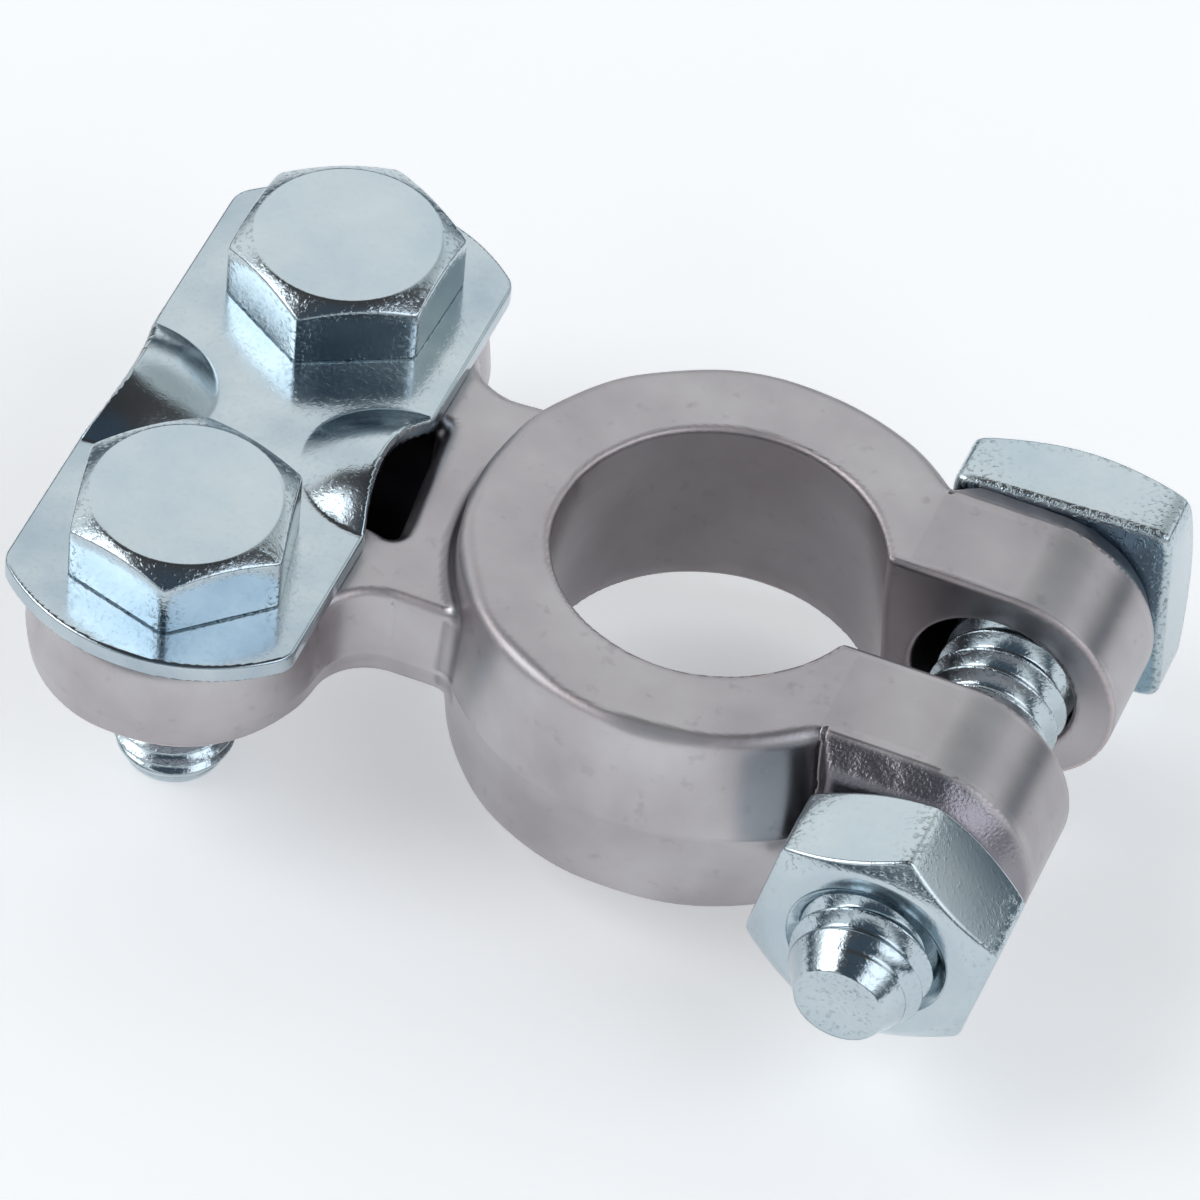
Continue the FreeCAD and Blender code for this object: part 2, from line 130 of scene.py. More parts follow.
def saddle_plan(x, y):
    """Distance in plan to the outline of neck and lugs: two circles for the lugs, the block between
    them, the neck's strip, and outside of a small circle in each inner corner."""
    y = np.abs(y)
    lug = np.hypot(x - LUG_X, y - LUG_Y) - LUG_RADIUS
    block = np.maximum(np.maximum(LUG_X - LUG_RADIUS - x, x - LUG_X), y - LUG_Y)
    strip = np.maximum(y - NECK_HALF, LUG_X - x)
    cx, cy, radius = NECK_CORNER
    reach = math.hypot(cx - LUG_X, cy - LUG_Y)
    line = ((cx - LUG_X) * (y - LUG_Y) - (cy - LUG_Y) * (x - LUG_X)) / reach
    hollow = np.maximum(radius - np.hypot(x - cx, y - cy), line)
    corner = np.maximum(hollow, np.maximum(x - cx, LUG_X - x))
    return np.minimum(np.minimum(lug, block), np.minimum(strip, corner))


def casting_distance(x, y, z):
    """Distance from the casting's skin, minus inside: the drafted ring, the drafted saddle and the
    ears with their bosses joined, less the tapered bore, the slot, the bolt holes and the cable
    trough, each edge rounded by an amount that wanders a little."""
    wander = 0.75 + 0.5 * ripple(x, y, z, 9.0, 3)
    from_parting = z - PARTING
    radius = np.hypot(x, y)
    side_y = np.abs(y)

    # The ring's wall leans in from the parting line, which stands 0.03 mm proud, and runs into
    # the ears, whose ends are round as seen from the side.
    draft = np.abs(from_parting) * math.sin(DRAFT)
    wall = (radius - RING_RADIUS) * math.cos(DRAFT) + draft
    wall = wall + 0.035 * ripple(x, y, z, 7.0, 5) - 0.03 * np.exp(-(from_parting / 0.16) ** 2)
    wall = joined(wall, np.maximum(side_y - EAR_FACE, -x), 0.6)
    straight = np.abs(z - EAR_RADIUS)
    round_end = np.hypot(x - EAR_END, z - EAR_RADIUS)
    section = np.where(x < EAR_END, straight, round_end) - EAR_RADIUS
    ring = common(wall, section, 0.65 * wander)

    beyond = np.maximum(side_y - EAR_FACE, 0)
    skin = np.clip(beyond / 0.3, 0, 1) * 0.05 * ripple(x, y, z, 2.2, 12)
    foot = np.maximum(section, BOSS_START - x)
    boss = foot * math.cos(BOSS_DRAFT) + beyond * math.sin(BOSS_DRAFT)
    ring = np.minimum(ring, common(boss + skin, side_y - BOSS_FACE, 0.35))

    side = saddle_plan(x, y) * math.cos(DRAFT) + draft
    side = side + 0.04 * ripple(x, y, z, 5.0, 7)
    top_edge = (0.5 + 0.5 * np.clip((-18.0 - x) / 1.5, 0, 1)) * wander
    saddle = common(common(side, z - SADDLE_TOP, top_edge), SADDLE_FOOT - z, 0.55 * wander)
    solid = joined(ring, np.maximum(saddle, x + 8.0), 0.7)

    # Below its land the bore widens by 1 mm of radius in BORE_TAPER of height, and at 45 degrees
    # in the lead-in.
    taper = np.maximum(BORE_LAND_FOOT - z, 0) / BORE_TAPER
    lead_in = np.maximum(BORE_LEAD_IN - z, 0) * (BORE_TAPER - 1) / BORE_TAPER
    bore = BORE_RADIUS + (taper + lead_in) - radius + 0.03 * ripple(x, y, z, 4.0, 13)
    solid = common(solid, bore, 0.28 * wander)
    slot = np.minimum(SLOT_HALF - side_y, x)
    solid = common(solid, slot, 0.3 * wander)
    ear_hole = EAR_HOLE_RADIUS - np.hypot(x - EAR_HOLE_X, z - CLAMP_Z)
    solid = common(solid, ear_hole, 0.3)
    lug_hole = LUG_HOLE_RADIUS - np.hypot(x - LUG_X, side_y - LUG_Y)
    solid = common(solid, lug_hole, 0.2)
    tube = TROUGH_RADIUS - np.hypot(y - TROUGH_Y, z - SADDLE_TOP)
    trough = joined(tube, TROUGH_END - TROUGH_SLANT * y - x, 0.5)
    rim = (0.4 + 0.6 * np.clip((x + 19.5) / 1.5, 0, 1)) * wander
    return common(solid, trough, rim)


def slope_of(distance, p, here):
    """Slope of a distance function at points, from its values there and a small step away."""
    return np.array([distance(*(p + SLOPE_STEP * axis)) - here for axis in AXES]) / SLOPE_STEP


def drawn_onto(distance, p, rounds):
    """Points moved toward the zero level of a distance function. Each round moves a point by minus
    its distance times the slope over the slope's squared length, and by no more than 0.4."""
    for _ in range(rounds):
        here = distance(*p)
        slope = slope_of(distance, p, here)
        move = here * slope / np.maximum((slope ** 2).sum(0), 0.25)
        p = p - move * np.minimum(1, 0.4 / np.maximum(np.linalg.norm(move, axis=0), 1e-9))
    return p


def relaxed(mesh, p, rounds):
    """Points of a mesh after rounds in which each moves half way to the mean of its neighbours."""
    ends = np.empty(len(mesh.edges) * 2, int)
    mesh.edges.foreach_get("vertices", ends)
    a, b = ends.reshape(-1, 2).T
    count = np.bincount(ends, minlength=p.shape[1])
    for _ in range(rounds):
        total = [np.bincount(a, q[b], len(count)) + np.bincount(b, q[a], len(count)) for q in p]
        p = 0.5 * p + 0.5 * np.array(total) / count
    return p


def settled(piece, name):
    """Gives a piece the mesh that its modifiers make of its own, shaded smooth."""
    view = bpy.context.evaluated_depsgraph_get()
    mesh = bpy.data.meshes.new_from_object(piece.evaluated_get(view))
    piece.modifiers.clear()
    piece.data = mesh
    mesh.name = name
    mesh.polygons.foreach_set("use_smooth", np.ones(len(mesh.polygons), bool))
    return mesh


def points_of(mesh):
    """Points of a mesh as rows x, y and z, in millimetres."""
    flat = np.empty(len(mesh.vertices) * 3)
    mesh.vertices.foreach_get("co", flat)
    return flat.reshape(-1, 3).T / MM


def add_marks(mesh, **marks):
    """Keeps each mark, a number for every point of the mesh, as an attribute of that name."""
    for name, values in marks.items():
        layer = mesh.attributes.new(name, "FLOAT", "POINT")
        layer.data.foreach_set("value", values.ravel().astype(np.float32))


def even_skin(name, node, voxel, distance, start):
    """Copy of a CAD node in even faces, drawn onto a distance function: the copy is remeshed at
    voxel size, moved as start says from each point and its normal's z, and drawn onto the zero
    level before and after a light relaxing. The normals are the slope of the distance. The bend
    attribute is the distance's second difference over 2.5: above zero on outer edges, below zero
    in inner corners."""
    piece = bpy.data.objects.new(name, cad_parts[node].data.copy())
    bpy.context.scene.collection.objects.link(piece)
    weld = piece.modifiers.new("weld", "WELD")
    weld.merge_threshold = 1e-6
    remesh = piece.modifiers.new("even", "REMESH")
    remesh.mode = "VOXEL"
    remesh.voxel_size = voxel * MM
    even = settled(piece, name)
    even.materials.clear()
    up = np.empty(len(even.vertices) * 3)
    even.vertex_normals.foreach_get("vector", up)
    p = start(*points_of(even), up.reshape(-1, 3)[:, 2])
    p = relaxed(even, drawn_onto(distance, p, 6), 3)
    p = drawn_onto(distance, p, 5)
    here = distance(*p)
    slope = slope_of(distance, p, here)
    reach = 0.3
    around = [distance(*(p + side * reach * axis)) for axis in AXES for side in (-1, 1)]
    add_marks(even, bend=np.clip((sum(around) - 6 * here) / reach ** 2 / 2.5, -1, 1))
    even.vertices.foreach_set("co", (p.T * MM).ravel())
    even.update()
    normals = (slope / np.maximum(np.linalg.norm(slope, axis=0), 1e-9)).T
    even.normals_split_custom_set_from_vertices(normals)
    return piece


def casting_start(x, y, z, up):
    """Points round the inner end of the cable trough moved back from the CAD trough's end to the
    end's place, less and less away from it. The normals are of no use here."""
    share = np.clip(1 - np.abs(x - CAD_TROUGH_END) / 2.5, 0, 1)
    share = share * np.clip((6.5 - np.abs(y)) / 1.5, 0, 1) * np.clip(z - 5, 0, 1)
    back = CAD_TROUGH_END - TROUGH_END + TROUGH_SLANT * y
    return np.array([x - back * share, y, z])


def tin_plated_casting():
    """Tin plate over tumbled cast brass: a warm grey, satin metal with a faint purple tone and cast
    grain under the plate. The outer edges are painted pale pink, partly as brass rubbed bare by
    the tumbling and partly as painted highlight; the inner corners, the trough, the slot and the
    bore are painted darker as shade; and the bosses stay as rough as the sand left them. One
    attribute marks the painted shade in the trough, slot and bore, and the raw attribute the
    bosses."""
    material = bpy.data.materials.new("tin_plated_cast_brass")
    material.use_nodes = True
    tree = material.node_tree
    shader = tree.nodes["Principled BSDF"]
    place = add_node(tree, "TexCoord").outputs["Object"]
    bend = add_node(tree, "Attribute", attribute_name="bend").outputs["Fac"]
    dull = add_node(tree, "Attribute", attribute_name="dull").outputs["Fac"]
    raw = add_node(tree, "Attribute", attribute_name="raw").outputs["Fac"]

    # Clouds of 8 mm in the plate, a sand grain of 0.2 mm, drawn coarser than the real 0.1 mm,
    # which wouldn't show, and scuffs of 1 mm.
    cloud = add_node(tree, "TexNoise", {"Vector": place, "Scale": 130.0, "Detail": 5.0})
    cloud = cloud.outputs["Fac"]
    grain = add_node(tree, "TexNoise", {"Vector": place, "Scale": 5200.0, "Detail": 3.0})
    speck = add_node(tree, "TexNoise", {"Vector": place, "Scale": 900.0, "Detail": 5.0})
    speck = speck.outputs["Fac"]

    patchy = add_node(tree, "MapRange", {"Value": cloud, "From Min": 0.32, "From Max": 0.68})
    tone = add_node(tree, "Mix", {"Factor": patchy.outputs["Result"], "A": linear("#a8a3a6"),
                                  "B": linear("#c6c2c4")}, data_type="RGBA")
    scuff = add_node(tree, "MapRange", {"Value": speck, "From Min": 0.62, "From Max": 0.78,
                                        "To Max": 0.45})
    marked = add_node(tree, "Mix", {"Factor": scuff.outputs["Result"], "A": tone.outputs[2],
                                    "B": linear("#8d858a")}, data_type="RGBA")
    # Painted highlight and wear: the outer edges are painted pale pink, partly as brass rubbed bare
    # through the tin and partly as a painted highlight along the rounded edges.
    edge = add_node(tree, "MapRange", {"Value": bend, "From Min": 0.45, "From Max": 1.0})
    clear = add_node(tree, "Math", {0: 1.0, 1: raw}, operation="SUBTRACT")
    edge = add_node(tree, "Math", {0: edge.outputs["Result"], 1: clear.outputs["Value"]},
                    operation="MULTIPLY")
    wear_and_highlight = add_node(tree, "Math", {0: edge.outputs["Value"], 1: speck}, operation="MULTIPLY",
                    use_clamp=True)
    edge_wear_and_highlight = add_node(tree, "Mix", {"Factor": wear_and_highlight.outputs["Value"], "A": marked.outputs[2],
                                    "B": linear("#e6d6d4")}, data_type="RGBA")
    # Painted shade: the inner corners are painted a darker grey.
    corner = add_node(tree, "MapRange", {"Value": bend, "From Min": -0.1, "From Max": -0.6,
                                         "To Max": 0.75})
    filmed = add_node(tree, "Mix", {"Factor": corner.outputs["Result"], "A": edge_wear_and_highlight.outputs[2],
                                    "B": linear("#5b545a")}, data_type="RGBA")
    sandy = add_node(tree, "Mix", {"Factor": raw, "A": filmed.outputs[2], "B": linear("#959096")},
                     data_type="RGBA")
    # Painted shade: darker in the cable trough, on the slot's faces and in the bore.
    dulled = add_node(tree, "Mix", {"Factor": dull, "A": sandy.outputs[2],
                                    "B": linear("#564f54")}, data_type="RGBA")
    tree.links.new(dulled.outputs[2], shader.inputs["Base Color"])

    # Edges scatter more and show more grain than faces, and the bosses show all of it.
    base = add_node(tree, "MapRange", {"Value": cloud, "To Min": 0.24, "To Max": 0.38})
    tip = add_node(tree, "MapRange", {"Value": bend, "From Min": 0.1, "From Max": 0.7,
                                      "To Max": 0.4}).outputs["Result"]
    rough = add_node(tree, "Math", {0: tip, 1: 0.5, 2: base.outputs["Result"]},
                     operation="MULTIPLY_ADD")
    tree.links.new(rough.outputs["Value"], shader.inputs["Roughness"])
    depth = add_node(tree, "Math", {0: tip, 1: raw}, operation="MAXIMUM")
    depth = add_node(tree, "MapRange", {"Value": depth.outputs["Value"], "To Min": 0.05,
                                        "To Max": 0.9})
    bump = add_node(tree, "Bump", {"Height": grain.outputs["Fac"],
                                   "Strength": depth.outputs["Result"], "Distance": 0.00005})
    tree.links.new(bump.outputs["Normal"], shader.inputs["Normal"])
    shader.inputs["Metallic"].default_value = 1.0
    return material


casting = even_skin("casting", "clamp_body", 0.26, casting_distance, casting_start)
casting.data.materials.append(tin_plated_casting())
x, y, z = points_of(casting.data)
# Painted shade: the cable trough is painted dark, and the slot's faces and the bore at a little
# over half of that.
dull = np.clip((SADDLE_TOP - 0.2 - z) / 1.2, 0, 1) * np.clip((TROUGH_END + 0.9 - x) / 0.5, 0, 1)
from_axis = np.hypot(y - TROUGH_Y, z - SADDLE_TOP)
dull = dull * np.clip((TROUGH_RADIUS + 0.4 - from_axis) / 0.3, 0, 1)
inner = np.clip((SLOT_HALF + 0.15 - np.abs(y)) / 0.1, 0, 1)
inner = inner * np.clip((17.5 - x) / 5, 0, 1) * (x > 5)
bore = np.clip((BORE_RADIUS + 0.7 - np.hypot(x, y)) / 0.2, 0, 1)
bore = bore * np.clip((RING_HEIGHT - 0.1 - z) / 0.3, 0, 1)
dull = np.maximum(dull, 0.55 * np.maximum(inner, bore))
raw = np.clip((np.abs(y) - EAR_FACE - 0.05) / 0.3, 0, 1)
raw = raw * np.clip((x - BOSS_START + 0.1) / 0.3, 0, 1)
add_marks(casting.data, dull=dull, raw=raw)
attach(casting, "casting")
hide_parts("clamp_body")

# The clamp bolt is a square head bolt that passes through both ears. It is cold forged steel with
# a rolled thread and bright zinc plate, thin and bluish, mirror-like on flats and grainy where the
# die left the chamfer and the edges.
HEAD_CHAMFER = math.tan(math.radians(27.0))
HEAD_FLAT_SHARE = 0.9
CLAMP_PITCH = 1.5
CLAMP_THREAD = 8.0
CLAMP_FLATS = 13.0
CLAMP_BOLT = {
    "sides": 4, "flats": CLAMP_FLATS, "height": 5.0, "turn": math.radians(42.0), "corner": 16,
    "seat_edge": 0.55, "major": CLAMP_THREAD, "pitch": CLAMP_PITCH, "length": 33.9,
    "tip_radius": 2.55, "tip_length": 2.6,
}


def sweep(name, grid, **marks):
    """Closed mesh through a grid of points: rows run along the profile and columns round the axis.
    Points that fall together, at poles, seams and clipped turns, are merged. Each mark is a
    number for every point, kept as an attribute of that name."""
    rows, columns = grid.shape[:2]
    index = np.arange(rows * columns).reshape(rows, columns)
    quads = np.stack([index[:-1, :-1], index[1:, :-1], index[1:, 1:], index[:-1, 1:]], axis=-1)
    mesh = bpy.data.meshes.new(name)
    mesh.vertices.add(rows * columns)
    mesh.vertices.foreach_set("co", (grid * MM).ravel())
    mesh.loops.add(quads.size)
    mesh.polygons.add(quads.size // 4)
    mesh.polygons.foreach_set("loop_start", np.arange(0, quads.size, 4))
    mesh.loops.foreach_set("vertex_index", quads.ravel())
    mesh.update(calc_edges=True)
    add_marks(mesh, **marks)
    piece = bpy.data.objects.new(name, mesh)
    bpy.context.scene.collection.objects.link(piece)
    weld = piece.modifiers.new("weld", "WELD")
    weld.merge_threshold = 2e-6
    settled(piece, name).update()
    return piece


def prism_columns(sides, steps=20):
    """Angles of the columns round a head, from 0 to a full turn, closer together at the corners."""
    t = np.linspace(-1, 1, steps + 1)[:-1]
    half = math.pi / sides
    turns = half * np.sin(t * math.pi / 2) + half + 2 * half * np.arange(sides)[:, None]
    return np.append(turns.ravel(), 2 * math.pi)


def prism_radius(angles, flats, sides, turn, power):
    """Radius of a prism's wall at each angle: half the width across flats over the power-norm of
    the cosines to the flats' normals, which rounds the corners more as the power falls."""
    normals = turn + math.pi / sides + 2 * math.pi * np.arange(sides) / sides
    cosines = np.maximum(np.cos(angles[:, None] - normals), 0)
    return flats / 2 / (cosines ** power).sum(1) ** (1 / power)


def toward_corner(wall):
    """Share from 0 at the middle of a prism's flats to 1 at its corners: the squared share of the
    radius beyond its least."""
    return ((wall - wall.min()) / np.ptp(wall)) ** 2


def rounded_profile(wall, corners, bends, steps=5):
    """Rows of points (radius, height) through corners, whose radius and height are each one number
    or a number for every column of the wall. Each corner is replaced by a quadratic curve that
    starts and ends bend away along its two sides."""
    spread = [np.stack(np.broadcast_arrays(*corner, wall)[:2], axis=1) for corner in corners]
    rows = [spread[0]]
    for before, corner, after, bend in zip(spread, spread[1:], spread[2:], bends):
        if bend <= 0:
            rows.append(corner)
            continue
        back, ahead = before - corner, after - corner
        size_back = np.linalg.norm(back, axis=1, keepdims=True)
        size_ahead = np.linalg.norm(ahead, axis=1, keepdims=True)
        start = corner + back * np.minimum(bend / np.maximum(size_back, 1e-9), 0.49)
        end = corner + ahead * np.minimum(bend / np.maximum(size_ahead, 1e-9), 0.49)
        for t in np.linspace(0, 1, steps):
            rows.append((1 - t) ** 2 * start + 2 * t * (1 - t) * corner + t ** 2 * end)
    rows.append(spread[-1])
    return np.array(rows)


def thread_depth(phase):
    """How far a rolled thread lies under its crest, as a share of the pitch, at a phase counted in
    turns: a narrow crest, then nearly straight flanks that ease into a round root."""
    offset = np.clip((np.abs(phase - np.round(phase)) - 0.03) / 0.47, 0, 1)
    return 0.52 * (1 - (1 - offset) ** 1.35)


def thread_rows(angles, pitch, major, top, foot, phase=0.0):
    """Rows (radius, height) of a thread between two heights. Each row keeps to one place on the
    thread's profile, so it climbs by the pitch in a turn, and is held between top and foot."""
    marks = np.array([0, 0.055, 0.075, 0.16, 0.27, 0.36, 0.40, 0.5, 0.60, 0.64, 0.73, 0.84, 0.925,
                      0.945])
    turns = int(math.ceil((top - foot) / pitch)) + 2
    start = math.floor(foot / pitch) - 1
    levels = (start + np.arange(turns + 1)[:, None] + marks).ravel()[::-1] * pitch
    height = levels[:, None] + (angles / (2 * math.pi) * pitch)[None, :]
    height = np.clip(height, foot, top)
    depth = thread_depth(height / pitch - angles[None, :] / (2 * math.pi) + phase) * pitch
    return major / 2 - depth, height


def turned(rows, angles):
    """Grid of points x, y and z from rows (radius, height), turned about z through the angles."""
    radius, height = rows[..., 0], rows[..., 1]
    return np.stack([radius * np.cos(angles), radius * np.sin(angles), height], axis=-1)


def bolt_grid(sides, flats, height, turn, corner, seat_edge, major, pitch, length, tip_radius,
              tip_length):
    """Points, grain and painted shade of a bolt, its seat at height 0: flat top, cone chamfer,
    prism wall, seat, threaded shank and tapered, dished tip. The painted shade marks the seat and
    the neck under the head for a darker blue. Corner is the power that rounds the prism and
    seat_edge the bend at its lower rim."""
    angles = prism_columns(sides) + turn
    wall = prism_radius(angles, flats, sides, turn, corner)
    flat = flats / 2 * HEAD_FLAT_SHARE
    shoulder = height - (wall - flat) * HEAD_CHAMFER
    head = rounded_profile(wall, (
        (0.0, height),
        (flat, height),
        (wall, shoulder),
        (wall, shoulder - 0.9),
        (wall, 0.0),
        (0.5 * major, 0.0),
        (0.5 * major, -0.6),
    ), (0.14, 0.16, 0, seat_edge, 0.2))
    head_grain = np.zeros(head.shape[:2])
    head_grain[4:9] = 0.3  # the chamfer with half the bend at each end
    head_grain[9:11] = 0.4  # the shoulder
    head_grain[11:13] = 0.05 + 0.45 * toward_corner(wall)  # the wall
    head_grain[13:17] = 1.0  # the rim at the seat
    head_grain[17:] = 0.35  # under the head
    # Painted shade: the seat under the head and the neck below it are marked for a darker blue.
    head_film = np.zeros(head.shape[:2])
    head_film[16:] = 1.0

    radius, z = thread_rows(angles, pitch, major, -0.6, -length)
    taper = tip_radius + (major / 2 - tip_radius) * np.clip((z + length) / tip_length, 0, None)
    radius = np.minimum(radius, taper)
    crest = np.clip(1 - (major / 2 - radius) / 0.12, 0, 1)
    dish = np.array([(tip_radius - 0.25, -length), (tip_radius - 0.6, 0.1 - length),
                     (0.0, 0.25 - length)])
    dish = np.repeat(dish[:, None, :], len(angles), axis=1)
    rows = np.concatenate([head, np.stack([radius, z], axis=-1), dish])
    grain = np.concatenate([head_grain, 0.2 + 0.6 * crest, np.full(dish.shape[:2], 0.5)])
    film = np.concatenate([head_film, np.zeros(radius.shape), np.zeros(dish.shape[:2])])
    return turned(rows, angles), grain, film


def zinc_plated_steel(name, shade, haze):
    """Bright zinc plate with a blue passivation: a cool, pale, mirror-like metal. The grain
    attribute marks where the forging die and the tumbling left it matt, pitted and dented; a
    second attribute marks painted shade under the bolt heads, coloured a darker blue. Haze is the
    least grain."""
    material = bpy.data.materials.new(name)
    material.use_nodes = True
    tree = material.node_tree
    shader = tree.nodes["Principled BSDF"]
    place = add_node(tree, "TexCoord").outputs["Object"]
    grain = add_node(tree, "Attribute", attribute_name="grain").outputs["Fac"]
    grain = add_node(tree, "Math", {0: grain, 1: haze}, operation="MAXIMUM").outputs["Value"]
    film = add_node(tree, "Attribute", attribute_name="film").outputs["Fac"]

    # Clouds of 5 mm in the passivation, pits of 0.12 mm and tumbling dents of 0.3 mm, both drawn
    # coarser than the real ones, which wouldn't show.
    cloud = add_node(tree, "TexNoise", {"Vector": place, "Scale": 190.0, "Detail": 5.0})
    cloud = cloud.outputs["Fac"]
    pits = add_node(tree, "TexNoise", {"Vector": place, "Scale": 8000.0, "Detail": 2.0})
    speck = add_node(tree, "TexNoise", {"Vector": place, "Scale": 3500.0, "Detail": 4.0})

    patchy = add_node(tree, "MapRange", {"Value": cloud, "From Min": 0.3, "From Max": 0.7})
    tone = add_node(tree, "Mix", {"Factor": patchy.outputs["Result"], "A": linear(shade),
                                  "B": linear("#c9d3d7")}, data_type="RGBA")
    dent = add_node(tree, "MapRange", {"Value": speck.outputs["Fac"], "From Min": 0.54,
                                       "From Max": 0.7, "To Max": 0.8}).outputs["Result"]
    spot = add_node(tree, "Math", {0: dent, 1: grain}, operation="MULTIPLY")
    marked = add_node(tree, "Mix", {"Factor": spot.outputs["Value"], "A": tone.outputs[2],
                                    "B": linear("#7b8a8c")}, data_type="RGBA")
    # Painted shade: a darker blue under the bolt heads, on the seat and the neck below it.
    seat_shaded = add_node(tree, "Mix", {"Factor": film, "A": marked.outputs[2],
                                    "B": linear("#8fa9b6")}, data_type="RGBA")
    tree.links.new(seat_shaded.outputs[2], shader.inputs["Base Color"])
    base = add_node(tree, "MapRange", {"Value": cloud, "To Min": 0.1, "To Max": 0.18})
    rough = add_node(tree, "Math", {0: grain, 1: 0.08, 2: base.outputs["Result"]},
                     operation="MULTIPLY_ADD")
    tree.links.new(rough.outputs["Value"], shader.inputs["Roughness"])
    depth = add_node(tree, "MapRange", {"Value": grain, "To Min": 0.0, "To Max": 0.9})
    height = add_node(tree, "Math", {0: dent, 1: 2.0, 2: pits.outputs["Fac"]},
                      operation="MULTIPLY_ADD")
    bump = add_node(tree, "Bump", {"Height": height.outputs["Value"],
                                   "Strength": depth.outputs["Result"], "Distance": 0.00003})
    tree.links.new(bump.outputs["Normal"], shader.inputs["Normal"])
    shader.inputs["Metallic"].default_value = 1.0
    return material


zinc_bolt = zinc_plated_steel("zinc_plated_forged_steel", "#b8c6ce", 0.06)
grid, grain, film = bolt_grid(**CLAMP_BOLT)
across, up, along = np.moveaxis(grid, -1, 0)
grid = np.stack([across + CLAMP_X, along + BOSS_FACE, CLAMP_Z - up], axis=-1)
clamp_bolt = sweep("square_head_bolt", grid, grain=grain, film=film)
clamp_bolt.data.materials.append(zinc_bolt)
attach(clamp_bolt, "tightening_bolt")
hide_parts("clamp_bolt")

# The clamp nut is a hexagon nut chamfered on both faces, with a countersunk, tapped hole.
# It is cold pressed from steel and zinc plated like the bolts, and the tumbling has dented its
# edges and corners.
NUT_HEIGHT = 6.0
NUT_TURN = math.radians(17.9)
NUT_FLAT_RADIUS = 5.85
NUT_SINK_RADIUS = 4.65
NUT_SINK_DEPTH = 0.6
THREAD_CLEARANCE = 0.05
angles = prism_columns(6) + NUT_TURN
wall = prism_radius(angles, CLAMP_FLATS, 6, NUT_TURN, 60)
chamfer = (wall - NUT_FLAT_RADIUS) * HEAD_CHAMFER
hole_radius = CLAMP_THREAD / 2 + THREAD_CLEARANCE
outside = rounded_profile(wall, (
    (hole_radius, NUT_HEIGHT - NUT_SINK_DEPTH),
    (NUT_SINK_RADIUS, NUT_HEIGHT),
    (NUT_FLAT_RADIUS, NUT_HEIGHT),
    (wall, NUT_HEIGHT - chamfer),
    (wall, chamfer),
    (NUT_FLAT_RADIUS, 0.0),
    (NUT_SINK_RADIUS, 0.0),
    (hole_radius, NUT_SINK_DEPTH),
), (0.15, 0.2, 0.2, 0.2, 0.2, 0.15))
radius, z = thread_rows(angles, CLAMP_PITCH, CLAMP_THREAD, NUT_HEIGHT - NUT_SINK_DEPTH,
                        NUT_SINK_DEPTH, phase=2 * BOSS_FACE / CLAMP_PITCH)
inside = np.stack([radius + THREAD_CLEARANCE, z], axis=-1)[::-1]
rows = np.concatenate([outside, inside, outside[:1]])
grain = np.full(rows.shape[:2], 0.05)
grain[9:14] = 0.15 + 0.25 * toward_corner(wall)  # the outer chamfer
grain[14:18] = 0.05 + 0.45 * toward_corner(wall)  # the wall
across, up, along = np.moveaxis(turned(rows, angles), -1, 0)
grid = np.stack([across + CLAMP_X, -along - BOSS_FACE, up + CLAMP_Z], axis=-1)
clamp_nut = sweep("hexagon_nut", grid, grain=grain, film=0 * grain)
clamp_nut.data.materials.append(zinc_bolt)
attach(clamp_nut, "tightening_nut")
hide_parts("clamp_nut")

# The cable plate is a strip of sheet steel, punched to shape with two bolt holes and pressed up
# at the middle of each long edge so that the cable can pass under it. It is zinc plated.
PLATE_HALF_WIDTH = 8.6
PLATE_END_Y = 7.75
PLATE_END_RADIUS = 11.85
PLATE_HOLE_RADIUS = 4.0
PLATE_THICK = 1.2
PLATE_SHIFT = -0.4
MOUTH_PLACE = -1.2
MOUTH_HALF = 5.0
MOUTH_DEPTH = 5.8
MOUTH_RISE = 1.8
MOUTH_DRAW = 0.5
RISE_STEP = 0.02


def plate_rise(inward, y):
    """Height of the sheet over its flat part, inward being the way in from the nearer long edge: a
    half bell on an oval foot, the rise times (1 minus the oval's squared radius) to the 1.2, with
    the crease at its foot rounded a little."""
    inside = 1 - (inward / MOUTH_DEPTH) ** 2 - ((y - MOUTH_PLACE) / MOUTH_HALF) ** 2
    return MOUTH_RISE * (0.5 * (inside + np.hypot(inside, 0.07))) ** 1.2


def plate_start(x, y, z, up):
    """A point of the CAD plate moved to the pressed sheet's upper or lower face, by its normal, and
    drawn in across the plate where the mouths rise."""
    x = LUG_X + (x - LUG_X) * (1 - MOUTH_DRAW * plate_rise(0 * y, y) / PLATE_HALF_WIDTH)
    rise = plate_rise(np.maximum(PLATE_HALF_WIDTH - np.abs(x - LUG_X), 0), y)
    sheet = SADDLE_TOP + rise + PLATE_THICK * (0.5 + 0.5 * np.clip(1.4 * up, -1, 1))
    return np.array([x, y, np.where(np.abs(y - MOUTH_PLACE) > MOUTH_HALF + 1.5, z, sheet)])


